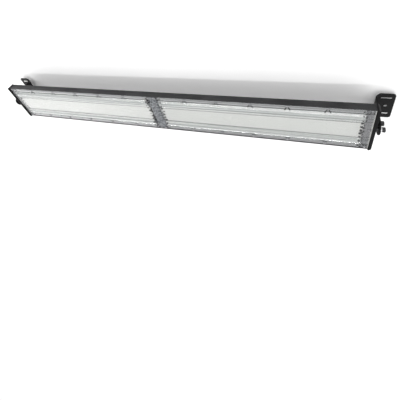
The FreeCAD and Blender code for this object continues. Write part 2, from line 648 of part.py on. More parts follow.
def arc_slot(middle_deg, sweep_deg, x0, x1):
    """Slot concentric with the tilt axis that a bolt travels in; angles run from +Y towards +Z."""
    half_width = BOLT_R + BOLT_SLOT_GAP
    first = math.radians(middle_deg - sweep_deg / 2)
    last = math.radians(middle_deg + sweep_deg / 2)
    mid = (first + last) / 2

    def at(radius, angle):
        return V(x0, radius * math.cos(angle), TILT_Z + radius * math.sin(angle))

    far, near = TILT_RADIUS + half_width, TILT_RADIUS - half_width
    band = Part.Wire([
        Part.Arc(at(near, first), at(near, mid), at(near, last)).toShape(),
        Part.makeLine(at(near, last), at(far, last)),
        Part.Arc(at(far, last), at(far, mid), at(far, first)).toShape(),
        Part.makeLine(at(far, first), at(near, first)),
    ])
    solid = Part.Face(band).extrude(V(x1 - x0, 0, 0))
    ends = [rod(half_width, at(TILT_RADIUS, angle), X_AXIS, x1 - x0) for angle in (first, last)]
    return solid.fuse(ends)


def leg_outline():
    """Leg outline in the YZ plane: a round foot about the tilt axis, straight flanks, full width at the bend."""
    top = FLANGE_UNDER_Z - BEND_R
    dy, dz = LEG_TOP_HALF, top - TILT_Z
    reach = math.hypot(dy, dz)
    tangent = math.atan2(dz, dy) - math.acos(LEG_FOOT_R / reach)
    touch_y = LEG_FOOT_R * math.cos(tangent)
    touch_z = TILT_Z + LEG_FOOT_R * math.sin(tangent)
    wide = FLANGE_HALF_WIDTH
    above = MOUNT_Z + CUT_MARGIN
    edges = [Part.Arc(V(0, -touch_y, touch_z), V(0, 0, TILT_Z - LEG_FOOT_R), V(0, touch_y, touch_z)).toShape()]
    points = [(touch_y, touch_z), (LEG_TOP_HALF, top), (wide, top), (wide, above),
              (-wide, above), (-wide, top), (-LEG_TOP_HALF, top), (-touch_y, touch_z)]
    for (ya, za), (yb, zb) in zip(points, points[1:]):
        edges.append(Part.makeLine(V(0, ya, za), V(0, yb, zb)))
    return Part.Face(Part.Wire(Part.__sortEdges__(edges)))


def flange_outline():
    """Flange outline seen from above: chamfered at the bend and rounded at the free corners."""
    wide, r = FLANGE_HALF_WIDTH, FLANGE_CORNER_R
    x0, x1 = LEG_INNER_X, FLANGE_EDGE_X
    narrow = wide - FLANGE_CHAMFER_Y
    bow = r * (1 - math.cos(math.radians(45)))
    edges = [
        Part.makeLine(V(x0, -narrow, 0), V(x0, narrow, 0)),
        Part.makeLine(V(x0, narrow, 0), V(x0 + FLANGE_CHAMFER_X, wide, 0)),
        Part.makeLine(V(x0 + FLANGE_CHAMFER_X, wide, 0), V(x1 - r, wide, 0)),
        Part.Arc(V(x1 - r, wide, 0), V(x1 - bow, wide - bow, 0), V(x1, wide - r, 0)).toShape(),
        Part.makeLine(V(x1, wide - r, 0), V(x1, r - wide, 0)),
        Part.Arc(V(x1, r - wide, 0), V(x1 - bow, bow - wide, 0), V(x1 - r, -wide, 0)).toShape(),
        Part.makeLine(V(x1 - r, -wide, 0), V(x0 + FLANGE_CHAMFER_X, -wide, 0)),
        Part.makeLine(V(x0 + FLANGE_CHAMFER_X, -wide, 0), V(x0, -narrow, 0)),
    ]
    return Part.Face(Part.Wire(edges))


def make_bracket():
    """The +X bracket: one blank of plate, bent outward at the top."""
    foot_z = TILT_Z - LEG_FOOT_R
    outer_r = BEND_R + BRACKET_THICKNESS
    upright = box(LEG_INNER_X, LEG_OUTER_X, -FLANGE_HALF_WIDTH, FLANGE_HALF_WIDTH, foot_z,
                  FLANGE_UNDER_Z - BEND_R)
    flat = box(LEG_OUTER_X + BEND_R, FLANGE_EDGE_X, -FLANGE_HALF_WIDTH, FLANGE_HALF_WIDTH, FLANGE_UNDER_Z, MOUNT_Z)
    centre = V(LEG_OUTER_X + BEND_R, -FLANGE_HALF_WIDTH, FLANGE_UNDER_Z - BEND_R)
    bend = tube(outer_r, BEND_R, centre, Y_AXIS, 2 * FLANGE_HALF_WIDTH)
    quarter = box(centre.x - outer_r, centre.x, centre.y, -centre.y, centre.z, centre.z + outer_r)
    plate = upright.fuse([flat, bend.common(quarter)])
    side_trim = leg_outline().extrude(V(FLANGE_EDGE_X + CUT_MARGIN, 0, 0))
    top_trim = flange_outline()
    top_trim.translate(V(0, 0, foot_z - CUT_MARGIN))
    plate = plate.common(side_trim).common(top_trim.extrude(V(0, 0, MOUNT_Z - foot_z + 2 * CUT_MARGIN)))
    sweep = TILT_BACK_DEG + TILT_FORTH_DEG
    lean = (TILT_BACK_DEG - TILT_FORTH_DEG) / 2
    cuts = [arc_slot(90 + lean, sweep, LEG_INNER_X - CUT_MARGIN, LEG_OUTER_X + CUT_MARGIN),
            arc_slot(270 + lean, sweep, LEG_INNER_X - CUT_MARGIN, LEG_OUTER_X + CUT_MARGIN)]
    cut_foot, cut_height = FLANGE_UNDER_Z - CUT_MARGIN, BRACKET_THICKNESS + 2 * CUT_MARGIN
    slot_x = LEG_INNER_X + MOUNT_SLOT_REACH
    slot_r = MOUNT_SLOT_WIDTH / 2
    run = MOUNT_SLOT_LENGTH / 2 - slot_r
    for y in (-MOUNT_SLOT_Y, MOUNT_SLOT_Y):
        cuts.append(box(slot_x - run, slot_x + run, y - slot_r, y + slot_r, cut_foot,
                        cut_foot + cut_height))
        for x in (slot_x - run, slot_x + run):
            cuts.append(rod(slot_r, V(x, y, cut_foot), Z_AXIS, cut_height))
    cuts.append(rod(HOOK_HOLE_R, V(LEG_INNER_X + HOOK_HOLE_REACH, 0, cut_foot), Z_AXIS, cut_height))
    for cut in cuts:
        plate = plate.cut(cut)
    return plate.removeSplitter()


def make_sleeves():
    return both_ends([tube(SLEEVE_R, BOLT_R + SLEEVE_GAP, V(HALF_LENGTH, 0, z), X_AXIS, SLEEVE_LENGTH)
                      for z in BOLT_ZS])


def make_flat_washers():
    return both_ends([tube(WASHER_R, BOLT_R + SLEEVE_GAP, V(WASHER_X, 0, z), X_AXIS, WASHER_THICKNESS)
                      for z in BOLT_ZS])


def make_spring_washers():
    """Split rings, shown pressed flat."""
    rings = []
    for z in BOLT_ZS:
        ring = tube(SPRING_R, BOLT_R + SLEEVE_GAP, V(SPRING_X, 0, z), X_AXIS, SPRING_THICKNESS)
        rings.append(ring.cut(box(SPRING_X, SPRING_X + SPRING_THICKNESS, 0, SPRING_R + CUT_MARGIN,
                                  z - SPRING_SPLIT / 2, z + SPRING_SPLIT / 2)))
    return both_ends(rings)


def make_tilt_bolts():
    """Socket-head bolts from outside each bracket into the tapped end cap."""
    bolts = []
    for z in BOLT_ZS:
        head = rod(BOLT_HEAD_R, V(BOLT_SEAT_X, 0, z), X_AXIS, BOLT_HEAD_HEIGHT)
        face_x = BOLT_SEAT_X + BOLT_HEAD_HEIGHT
        rim = [edge for edge in head.Edges if abs(edge.BoundBox.XMin - face_x) < TOUCHING]
        head = head.makeChamfer(BOLT_HEAD_EDGE, rim)
        socket = hexagon(BOLT_SOCKET_FLATS, V(face_x - BOLT_SOCKET_DEPTH, 0, z), X_AXIS, BOLT_SOCKET_DEPTH)
        shank = rod(BOLT_R, V(BOLT_TIP_X, 0, z), X_AXIS, BOLT_LENGTH)
        bolts.append(head.cut(socket).fuse(shank).removeSplitter())
    return both_ends(bolts)


# ---- Export ----

def write(node, shapes):
    shape = Part.makeCompound(shapes) if len(shapes) > 1 else shapes[0].copy()
    shape.translate(V(0, 0, -MOUNT_Z))
    shape.exportStep("parts/%s.step" % node)


def write_pair(node, shapes):
    """Write the +X pieces as the right-hand node and their mirror image as the left-hand one."""
    write(node + "_right", shapes)
    write(node + "_left", [mirror_x(shape) for shape in shapes])


def main():
    os.makedirs("parts", exist_ok=True)
    write("housing", [make_housing()])
    write_pair("end_cap", [make_end_cap()])
    write_pair("end_gasket", [make_end_gasket()])
    write("end_cap_screws", make_cap_screws())
    write_pair("lens", [make_lens()])
    write_pair("lens_gasket", [make_lens_gasket()])
    write_pair("end_rail", [make_end_rail()])
    write("centre_rail", [make_centre_rail()])
    write("joint_strip", [make_joint_strip()])
    write("lens_screws", make_lens_screws())
    write_pair("led_board_near", [make_board(-1)])
    write_pair("led_board_far", [make_board(1)])
    write_pair("led_chips_near", make_chips(-1))
    write_pair("led_chips_far", make_chips(1))
    write("board_screws", make_board_screws())
    write_pair("reflector", [make_reflector()])
    write_pair("driver", [make_driver()])
    write("terminal_block", [make_terminal_block()])
    write("internal_wires", make_internal_wires())
    write("gland_body", [make_gland_body()])
    write("gland_cap", [make_gland_cap()])
    write("gland_seal", [make_gland_seal()])
    write("gland_nut", [make_gland_nut()])
    write_pair("bracket", [make_bracket()])
    write("spacer_sleeves", make_sleeves())
    write("flat_washers", make_flat_washers())
    write("spring_washers", make_spring_washers())
    write("tilt_bolts", make_tilt_bolts())


main()
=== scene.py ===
# %% [markdown]
# # A linear high bay light under its ceiling
# The construction model already holds every rigid piece of this lamp: housing, caps, lenses, boards, brackets
# and fasteners. This lesson dresses them. First the frame is loaded, then come small helpers for finishes,
# then each finish, then the few pieces that gain from finer modelling, and last stage, light and camera.

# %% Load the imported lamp
import math

import bmesh
import bpy
from mathutils import Matrix, Vector


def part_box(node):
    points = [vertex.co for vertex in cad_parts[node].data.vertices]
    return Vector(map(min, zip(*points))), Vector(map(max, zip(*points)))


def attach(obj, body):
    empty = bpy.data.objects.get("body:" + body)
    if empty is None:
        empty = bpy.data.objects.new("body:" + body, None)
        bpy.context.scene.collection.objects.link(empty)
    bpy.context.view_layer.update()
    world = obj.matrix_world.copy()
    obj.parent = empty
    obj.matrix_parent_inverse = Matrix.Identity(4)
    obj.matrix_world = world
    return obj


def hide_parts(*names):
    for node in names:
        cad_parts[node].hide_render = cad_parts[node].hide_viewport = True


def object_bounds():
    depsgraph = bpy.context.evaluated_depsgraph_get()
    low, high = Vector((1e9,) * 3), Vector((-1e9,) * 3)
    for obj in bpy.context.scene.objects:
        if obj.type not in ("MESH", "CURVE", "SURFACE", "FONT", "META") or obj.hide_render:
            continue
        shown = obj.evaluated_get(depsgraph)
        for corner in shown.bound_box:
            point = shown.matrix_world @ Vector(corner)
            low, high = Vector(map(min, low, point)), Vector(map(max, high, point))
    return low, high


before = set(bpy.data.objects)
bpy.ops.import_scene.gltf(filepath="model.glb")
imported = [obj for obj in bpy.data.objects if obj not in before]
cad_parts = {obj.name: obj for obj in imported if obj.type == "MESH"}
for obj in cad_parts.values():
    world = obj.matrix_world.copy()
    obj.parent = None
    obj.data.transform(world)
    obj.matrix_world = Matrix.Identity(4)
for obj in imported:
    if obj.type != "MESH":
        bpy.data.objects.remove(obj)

cad_low, cad_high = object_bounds()
print("box:", [round(v, 4) for v in cad_low], [round(v, 4) for v in cad_high])

# %% [markdown]
# ## Helpers for finishes
# Every finish here is built from nodes on Object coordinates, in metres, so its grain keeps its real size and
# stays put on the piece. Small helpers make the nodes that all finishes share: the coordinates, a noise, a
# colour ramp, a range, a bump and straight bands. Keeping them small keeps each finish readable.

# %% Coordinates and noise
def new_finish(name, metallic=0.0, roughness=0.5):
    """A Principled material, with the values that are the same all over set on its own sockets."""
    finish = bpy.data.materials.new(name)
    finish.use_nodes = True
    shader = finish.node_tree.nodes["Principled BSDF"]
    shader.inputs["Metallic"].default_value = metallic
    shader.inputs["Roughness"].default_value = roughness
    return finish, finish.node_tree, shader


def piece_coords(tree, stretch=(1, 1, 1)):
    """Object coordinates, stretched where the grain runs one way."""
    source = tree.nodes.new("ShaderNodeTexCoord")
    mapping = tree.nodes.new("ShaderNodeMapping")
    mapping.inputs["Scale"].default_value = stretch
    tree.links.new(source.outputs["Object"], mapping.inputs["Vector"])
    return mapping.outputs["Vector"]


def grain(tree, where, scale, detail=3.0, rough=0.5):
    """A noise of the given scale, as a value from 0 to 1."""
    noise = tree.nodes.new("ShaderNodeTexNoise")
    noise.inputs["Scale"].default_value = scale
    noise.inputs["Detail"].default_value = detail
    noise.inputs["Roughness"].default_value = rough
    tree.links.new(where, noise.inputs["Vector"])
    return noise.outputs["Fac"]


print("coordinate and noise helpers ready")

# %% Ramps, ranges and bumps
def ramp(tree, value, stops):
    """Colours along a value: stops are (position, (r, g, b))."""
    node = tree.nodes.new("ShaderNodeValToRGB")
    marks = node.color_ramp.elements
    while len(marks) < len(stops):
        marks.new(0.5)
    for mark, (place, colour) in zip(marks, stops):
        mark.position = place
        mark.color = (*colour, 1)
    tree.links.new(value, node.inputs["Fac"])
    return node.outputs["Color"]


def spread(tree, value, low, high, start=0.3, end=0.7):
    """Maps a noise onto a narrow range, such as a roughness."""
    node = tree.nodes.new("ShaderNodeMapRange")
    node.inputs["From Min"].default_value = start
    node.inputs["From Max"].default_value = end
    node.inputs["To Min"].default_value = low
    node.inputs["To Max"].default_value = high
    tree.links.new(value, node.inputs["Value"])
    return node.outputs["Result"]


def bump(tree, height, depth, strength=1.0, under=None):
    """A bump of the given depth in metres, on top of another bump if one is given."""
    node = tree.nodes.new("ShaderNodeBump")
    node.inputs["Strength"].default_value = strength
    node.inputs["Distance"].default_value = depth
    tree.links.new(height, node.inputs["Height"])
    if under is not None:
        tree.links.new(under, node.inputs["Normal"])
    return node.outputs["Normal"]


def bands(tree, where, pitch, direction="Y"):
    """Straight bands, one every pitch metres along one axis."""
    wave = tree.nodes.new("ShaderNodeTexWave")
    wave.bands_direction = direction
    wave.inputs["Scale"].default_value = math.pi / 10 / pitch
    tree.links.new(where, wave.inputs["Vector"])
    return wave.outputs["Fac"]


print("ramp, spread, bump and bands ready")

# %% [markdown]
# ## Powder coat
# The housing, the end caps and the brackets are baked with a dark powder coat. Up close it is never flat:
# it has a fine orange-peel skin, faint cloudiness and a slightly uneven sheen. Noise at three scales gives
# that. On the extruded housing the die also leaves faint lines along the length, so there one more noise is
# stretched along X.

# %% Powder coat finish
CLOUD_SCALE, PEEL_SCALE, SHEEN_SCALE = 14, 650, 60
SKIN_DEPTH = 0.00012
DIE_LINE_STRETCH = (1.5, 420, 420)


def powder_coat(name, dark, light, sheen, gloss, die_lines=False):
    """Painted metal: dark and light are the ends of its cloudiness, sheen the ends of its roughness."""
    finish, tree, shader = new_finish(name)
    shader.inputs["Specular IOR Level"].default_value = gloss
    where = piece_coords(tree)
    cloud = grain(tree, where, CLOUD_SCALE, detail=4)
    tree.links.new(ramp(tree, cloud, [(0.3, dark), (0.7, light)]), shader.inputs["Base Color"])
    peel = grain(tree, where, PEEL_SCALE, detail=2)
    tree.links.new(spread(tree, grain(tree, where, SHEEN_SCALE), *sheen), shader.inputs["Roughness"])
    skin = bump(tree, peel, SKIN_DEPTH, 0.35)
    if die_lines:
        lines = grain(tree, piece_coords(tree, DIE_LINE_STRETCH), 1.0, detail=2)
        skin = bump(tree, lines, SKIN_DEPTH, 0.4, under=skin)
    tree.links.new(skin, shader.inputs["Normal"])
    return finish


charcoal_coat = powder_coat("charcoal_coat", (0.016, 0.0163, 0.017), (0.034, 0.0347, 0.036),
                            (0.36, 0.50), 0.12, die_lines=True)
black_coat = powder_coat("black_coat", (0.005, 0.005, 0.0053), (0.011, 0.011, 0.0115), (0.42, 0.56), 0.05)
bracket_coat = powder_coat("bracket_coat", (0.004, 0.004, 0.0042), (0.008, 0.008, 0.0085), (0.44, 0.58), 0.10)
print("powder coats:", charcoal_coat.name, black_coat.name, bracket_coat.name)

# %% [markdown]
# ## Bare and plated metal
# Washers and cap screws are zinc plated, the lens screws are duller, and the tilt bolts and their sleeves are
# blackened. The joint strip is brushed and mottled, and the rails and driver cases are plain drawn aluminium.
# All are metals whose colour and roughness follow one grain, so one function with a stretch serves them all.

# %% Metal finish
def worked_metal(name, dark, light, stretch, sheen, depth=0.00006, band=0.25):
    """Bare metal: a narrow band makes its streaks hard, a wide one soft."""
    finish, tree, shader = new_finish(name, metallic=1.0)
    streaks = grain(tree, piece_coords(tree, stretch), 1.0, detail=5, rough=0.65)
    colour = ramp(tree, streaks, [(0.5 - band, dark), (0.5 + band, light)])
    tree.links.new(colour, shader.inputs["Base Color"])
    tree.links.new(spread(tree, streaks, *sheen), shader.inputs["Roughness"])
    tree.links.new(bump(tree, streaks, depth, 0.5), shader.inputs["Normal"])
    return finish


plated_steel = worked_metal("plated_steel", (0.42, 0.42, 0.43), (0.66, 0.66, 0.67),
                            (300, 300, 300), (0.22, 0.38))
dark_bolt_steel = worked_metal("dark_bolt_steel", (0.015, 0.015, 0.016), (0.07, 0.07, 0.072),
                               (400, 400, 400), (0.22, 0.38))
lens_screw_steel = worked_metal("lens_screw_steel", (0.16, 0.16, 0.17), (0.36, 0.36, 0.37),
                                (500, 500, 500), (0.22, 0.4))
brushed_strip = worked_metal("brushed_strip", (0.012, 0.013, 0.015), (0.27, 0.282, 0.297),
                             (230, 170, 230), (0.3, 0.5), depth=0.0004, band=0.05)
drawn_aluminium = worked_metal("drawn_aluminium", (0.20, 0.195, 0.21), (0.34, 0.33, 0.355),
                               (20, 700, 700), (0.35, 0.5))
metals = (plated_steel, dark_bolt_steel, lens_screw_steel, brushed_strip, drawn_aluminium)
print("metals:", [metal.name for metal in metals])

# %% [markdown]
# ## Moulded plastics, foam and white sheet
# The gland is nylon with a fine spark-eroded texture, the gaskets are soft pale foam with open pores, and the
# reflector sheets and boards are white. These aren't metals, so only colour, roughness and bump differ.

# %% Plastic, foam and sheet finishes
PORES_PER_PATCH = 40


def moulded(name, dark, light, scale, sheen, depth):
    """A plastic, foam or sheet: fine pores for its sheen and relief, large patches for its colour."""
    finish, tree, shader = new_finish(name)
    where = piece_coords(tree)
    pores = grain(tree, where, scale, detail=4)
    patches = grain(tree, where, scale / PORES_PER_PATCH, detail=2)
    tree.links.new(ramp(tree, patches, [(0.3, dark), (0.7, light)]), shader.inputs["Base Color"])
    tree.links.new(spread(tree, pores, *sheen), shader.inputs["Roughness"])
    tree.links.new(bump(tree, pores, depth, 0.6), shader.inputs["Normal"])
    return finish


gland_nylon = moulded("gland_nylon", (0.012, 0.012, 0.012), (0.022, 0.022, 0.022), 900, (0.45, 0.6), 0.0001)
seal_rubber = moulded("seal_rubber", (0.01, 0.01, 0.01), (0.02, 0.02, 0.02), 500, (0.6, 0.75), 0.0001)
foam = moulded("foam", (0.55, 0.55, 0.53), (0.68, 0.68, 0.66), 700, (0.8, 0.95), 0.0002)
white_sheet = moulded("white_sheet", (0.78, 0.79, 0.79), (0.86, 0.87, 0.87), 400, (0.45, 0.6), 0.00003)
board_white = moulded("board_white", (0.78, 0.79, 0.77), (0.85, 0.86, 0.84), 800, (0.3, 0.42), 0.00002)
terminal_plastic = moulded("terminal_plastic", (0.55, 0.54, 0.50), (0.66, 0.65, 0.60),
                           600, (0.4, 0.5), 0.00005)
wire_sheath = moulded("wire_sheath", (0.10, 0.10, 0.11), (0.15, 0.15, 0.16), 500, (0.45, 0.55), 0.00003)
phosphor = moulded("phosphor", (0.78, 0.55, 0.05), (0.88, 0.66, 0.10), 900, (0.25, 0.4), 0.00004)
print("plastics, foam and sheet ready")

# %% [markdown]
# ## Clear lens
# Each lens is one polycarbonate moulding. It is clear, but its inner face carries fine prisms along the
# length that smear whatever lies behind it into streaks, so the white sheet behind makes it read as pale
# grey. Real prisms this fine would need far too many faces, so the shader has the bands as a bump, together
# with a slow waviness from the moulding.

# %% Distances across and along the lens
def math_node(tree, operation, first, second=None):
    """One step of arithmetic: each input is a socket or a number."""
    node = tree.nodes.new("ShaderNodeMath")
    node.operation = operation
    for place, value in enumerate((first, second)):
        if value is None:
            continue
        if isinstance(value, (int, float)):
            node.inputs[place].default_value = value
        else:
            tree.links.new(value, node.inputs[place])
    return node.outputs["Value"]


def away_from_middle(tree, where):
    """How far a point is from the lamp's middle, along X and along Y, in metres."""
    split = tree.nodes.new("ShaderNodeSeparateXYZ")
    tree.links.new(where, split.inputs["Vector"])
    return math_node(tree, "ABSOLUTE", split.outputs["X"]), math_node(tree, "ABSOLUTE", split.outputs["Y"])


def times(tree, first, second):
    """Two colours multiplied."""
    node = tree.nodes.new("ShaderNodeMix")
    node.data_type = "RGBA"
    node.blend_type = "MULTIPLY"
    node.inputs[0].default_value = 1.0
    tree.links.new(first, node.inputs[6])
    tree.links.new(second, node.inputs[7])
    return node.outputs[2]


print("distance helpers ready")

# %% [markdown]
# The moulding isn't equally thick. Its border is solid plastic and looks darker, while the domes and the flat
# middle pass light. The narrow dark lines at the crease beside the flat middle and at the outer foot of each
# dome are painted shade. A ramp across the width carries both. Its places are distances from the middle line,
# in metres, and the lens's own box gives the half width that they share.

# %% Tint and painted crease shade across the lens
LENS_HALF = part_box("lens_right")[1].y
LENS_START, LENS_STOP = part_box("lens_right")[0].x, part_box("lens_right")[1].x
END_FLANGE = 0.019
PALE, CLEAR, BORDER = (0.85, 0.86, 0.84), (1.0, 1.0, 1.0), (0.62, 0.63, 0.64)


def across_tint_and_crease_shade(tree, across):
    """Tint across the lens, with painted shade at the creases, each at its distance from the middle line in
    metres.
    """
    def at(y):
        return y / LENS_HALF
    share = math_node(tree, "DIVIDE", across, LENS_HALF)
    # The dark stops at 0.0283 and from 0.0570 to 0.0582 are painted shade at the crease beside the flat
    # middle and at the outer foot of each dome.
    return ramp(tree, share, [
        (0.0, PALE), (at(0.0262), PALE), (at(0.0283), (0.20, 0.21, 0.20)), (at(0.0302), CLEAR),
        (at(0.0375), (0.90, 0.92, 0.90)), (at(0.0400), (0.42, 0.44, 0.43)), (at(0.0425), CLEAR),
        (at(0.0495), (0.82, 0.84, 0.83)), (at(0.0520), CLEAR), (at(0.0560), (0.95, 0.96, 0.96)),
        (at(0.0570), (0.16, 0.17, 0.17)), (at(0.0582), (0.16, 0.17, 0.17)), (at(0.0597), BORDER),
        (at(0.0625), (0.92, 0.93, 0.94)), (at(0.0645), (0.45, 0.46, 0.47)), (at(0.0680), (0.72, 0.73, 0.74)),
        (1.0, (0.50, 0.51, 0.52))])


print("lens half width", round(LENS_HALF, 4), "from", round(LENS_START, 4), "to", round(LENS_STOP, 4))

# %% [markdown]
# Past both ends of the raised part the prisms stop in two rows of dots, and the flange beyond lies on a bare
# metal rail, so it looks grey. Beside each screw two short dark lines fan out to the dome. All three follow
# from distances: how far a point lies beyond the raised part, and how far it is from the nearest screw.

# %% Grey flange
RAMP_PER_METRE, RAMP_ZERO = 30, 0.3


def beyond_raised(tree, along):
    """How far past the nearer end of the raised part a point lies, negative on the raised part."""
    return math_node(tree, "MAXIMUM", math_node(tree, "SUBTRACT", along, LENS_STOP - END_FLANGE),
                     math_node(tree, "SUBTRACT", LENS_START + END_FLANGE, along))


def flange_tint(tree, beyond):
    """Grey where the flange lies on its rail, clear elsewhere."""
    share = math_node(tree, "ADD", math_node(tree, "MULTIPLY", beyond, RAMP_PER_METRE), RAMP_ZERO)
    return ramp(tree, share, [(0.285, (1, 1, 1)), (0.315, (0.42, 0.42, 0.45)),
                              (0.80, (0.50, 0.50, 0.53)), (0.83, (1, 1, 1))])


print("raised part from", round(LENS_START + END_FLANGE, 4), "to", round(LENS_STOP - END_FLANGE, 4))

# %% Zigzag ends
HALF_PITCH, DOT_PATCHES, DOT_UNEVENNESS = 0.0064, 75, 1.9
INNER_ROW, INNER_DOT = -0.0045, 0.0034
OUTER_ROW, OUTER_DOT = 0.0020, 0.0032


def dot_row(tree, beyond, offset, to_dot, radius):
    """Dark dots in a row across the lens, offset past the raised part, some fainter than others."""
    reach = math_node(tree, "ABSOLUTE", math_node(tree, "SUBTRACT", beyond, offset))
    far = math_node(tree, "SQRT", math_node(tree, "ADD", math_node(tree, "MULTIPLY", reach, reach),
                                            math_node(tree, "MULTIPLY", to_dot, to_dot)))
    patches = grain(tree, piece_coords(tree), DOT_PATCHES, detail=2)
    unevenness = math_node(tree, "MULTIPLY", patches, DOT_UNEVENNESS)
    size = math_node(tree, "ADD", math_node(tree, "DIVIDE", far, 2 * radius), unevenness)
    return ramp(tree, math_node(tree, "SUBTRACT", size, DOT_UNEVENNESS / 2),
                [(0.30, (0.02, 0.02, 0.025)), (0.62, (1, 1, 1))])


def zigzag(tree, beyond, across):
    """Two rows of prism ends, each row halfway between the dots of the other."""
    to_first = math_node(tree, "PINGPONG", across, HALF_PITCH)
    to_second = math_node(tree, "SUBTRACT", HALF_PITCH, to_first)
    return times(tree, dot_row(tree, beyond, INNER_ROW, to_first, INNER_DOT),
                 dot_row(tree, beyond, OUTER_ROW, to_second, OUTER_DOT))


print("dots in the inner row:", 2 * int(LENS_HALF / (2 * HALF_PITCH)) + 1)

# %% Dark lines beside the screws
SCREW_LINE = LENS_HALF - 0.004
SCREW_FIRST, SCREW_LAST, SCREWS_ON_EDGE = 0.008, LENS_STOP - 0.0065, 7
SCREW_STEP = (SCREW_LAST - SCREW_FIRST) / (SCREWS_ON_EDGE - 1)
FAN_SPREAD, FAN_REACH, FAN_HALF_WIDTH = 0.55, 0.0125, 0.0015


def line_mask(tree, distance, half_width):
    """White away from a line, dark on it, from the distance to the line."""
    share = math_node(tree, "DIVIDE", math_node(tree, "ABSOLUTE", distance), 2 * half_width)
    return ramp(tree, share, [(0.35, (0.03, 0.03, 0.035)), (0.8, (1, 1, 1))])


def screw_fan_lines(tree, along, across):
    """Two dark lines that fan out from every screw toward the dome."""
    past_first = math_node(tree, "SUBTRACT", along, SCREW_FIRST)
    to_screw = math_node(tree, "ABSOLUTE", math_node(tree, "PINGPONG", past_first, SCREW_STEP / 2))
    inward = math_node(tree, "SUBTRACT", SCREW_LINE, across)
    # The two lines are dark colour painted on the lens.
    fan_line = math_node(tree, "SUBTRACT", to_screw, math_node(tree, "MULTIPLY", inward, FAN_SPREAD))
    off_edge = math_node(tree, "GREATER_THAN", inward, FAN_REACH)
    return line_mask(tree, math_node(tree, "ADD", fan_line, off_edge), FAN_HALF_WIDTH)


print("screws on an edge:", SCREWS_ON_EDGE, "step", round(SCREW_STEP, 4))

# %% [markdown]
# The lens is clear polycarbonate. Transmission shows the boards behind it, and long darker streaks on either
# side of the flat middle stand for thicker plastic. The bump of fine prisms breaks up the reflection.

# %% Lens finish
POLYCARBONATE_IOR, CLEARNESS = 1.58, 0.72
PRISM_PITCH, PRISM_DEPTH, WAVE_DEPTH = 0.0026, 0.0002, 0.0006
MIDDLE_HALF, DOME_FOOT = 0.026, 0.030
STREAK_STRETCH, STREAK_LEVEL = (1.2, 260, 260), 0.62
WAVE_STRETCH = (2.2, 90, 90)


def clear_lens_finish():
    """The clear plastic, tinted by the thickness and the marks of its moulding."""
    finish, tree, shader = new_finish("clear_lens", roughness=0.10)
    shader.inputs["IOR"].default_value = POLYCARBONATE_IOR
    shader.inputs["Transmission Weight"].default_value = CLEARNESS
    where = piece_coords(tree)
    along, across = away_from_middle(tree, where)
    drawn = grain(tree, piece_coords(tree, STREAK_STRETCH), 1.0, detail=3, rough=0.55)
    past_middle = spread(tree, across, 0.0, 1.0, start=MIDDLE_HALF, end=DOME_FOOT)
    thickness = math_node(tree, "MULTIPLY", math_node(tree, "SUBTRACT", STREAK_LEVEL, drawn), past_middle)
    streak = ramp(tree, thickness, [(0.02, (1.0, 1.0, 1.0)), (0.26, (0.62, 0.65, 0.64))])
    beyond = beyond_raised(tree, along)
    colour = times(tree, across_tint_and_crease_shade(tree, across), streak)
    colour = times(tree, colour, flange_tint(tree, beyond))
    colour = times(tree, colour, zigzag(tree, beyond, across))
    tree.links.new(times(tree, colour, screw_fan_lines(tree, along, across)), shader.inputs["Base Color"])
    prisms = bump(tree, bands(tree, where, PRISM_PITCH), PRISM_DEPTH, 0.4)
    waves = grain(tree, piece_coords(tree, WAVE_STRETCH), 1.0, detail=3)
    tree.links.new(bump(tree, waves, WAVE_DEPTH, 0.4, under=prisms), shader.inputs["Normal"])
    return finish


clear_lens = clear_lens_finish()
print("lens:", clear_lens.name)

# %% [markdown]
# The end gaskets are the same foam, but they are dark along their long sides, where these come out beside
# the painted walls. The distance across the lamp carries that change.

# %% Foam with dark sides
FOAM_PORES, FOAM_DEPTH = 900, 0.0002


def side_darkened_foam():
    """Pale foam, dark where its sides come out beside the walls."""
    finish, tree, shader = new_finish("end_foam", roughness=0.85)
    where = piece_coords(tree)
    _, across = away_from_middle(tree, where)
    side = ramp(tree, math_node(tree, "DIVIDE", across, LENS_HALF),
                [(0.985, (1, 1, 1)), (1.0, (0.03, 0.03, 0.03))])
    pores = ramp(tree, grain(tree, where, FOAM_PORES, detail=3),
                 [(0.35, (0.55, 0.55, 0.53)), (0.6, (0.88, 0.88, 0.86))])
    tree.links.new(times(tree, pores, side), shader.inputs["Base Color"])
    tree.links.new(bump(tree, grain(tree, where, FOAM_PORES), FOAM_DEPTH, 0.5), shader.inputs["Normal"])
    return finish


end_foam = side_darkened_foam()
print("gaskets:", end_foam.name)

# %% [markdown]
# ## Give each piece its finish
# The solids that are right as they stand keep their meshes, and only take a finish, by name. The others take
# one too, so that every node is dressed even before a finer piece stands for it.

# %% Finish the solids
FINISH_OF = {
    "housing": charcoal_coat,
    "end_cap_screws": plated_steel, "board_screws": plated_steel,
    "end_cap_left": black_coat, "end_cap_right": black_coat,
    "end_gasket_left": end_foam, "end_gasket_right": end_foam,
    "lens_gasket_left": foam, "lens_gasket_right": foam,
    "lens_left": clear_lens, "lens_right": clear_lens,
    "end_rail_left": drawn_aluminium, "end_rail_right": drawn_aluminium, "centre_rail": drawn_aluminium,
    "joint_strip": brushed_strip, "lens_screws": lens_screw_steel,
    "led_board_near_left": board_white, "led_board_near_right": board_white,
    "led_board_far_left": board_white, "led_board_far_right": board_white,
    "led_chips_near_left": phosphor, "led_chips_near_right": phosphor,
    "led_chips_far_left": phosphor, "led_chips_far_right": phosphor,
    "reflector_left": white_sheet, "reflector_right": white_sheet,
    "driver_left": drawn_aluminium, "driver_right": drawn_aluminium,
    "terminal_block": terminal_plastic, "internal_wires": wire_sheath,
    "gland_body": gland_nylon, "gland_cap": gland_nylon, "gland_nut": gland_nylon, "gland_seal": seal_rubber,
    "bracket_left": bracket_coat, "bracket_right": bracket_coat,
    "spacer_sleeves": dark_bolt_steel, "flat_washers": plated_steel, "spring_washers": plated_steel,
    "tilt_bolts": dark_bolt_steel,
}

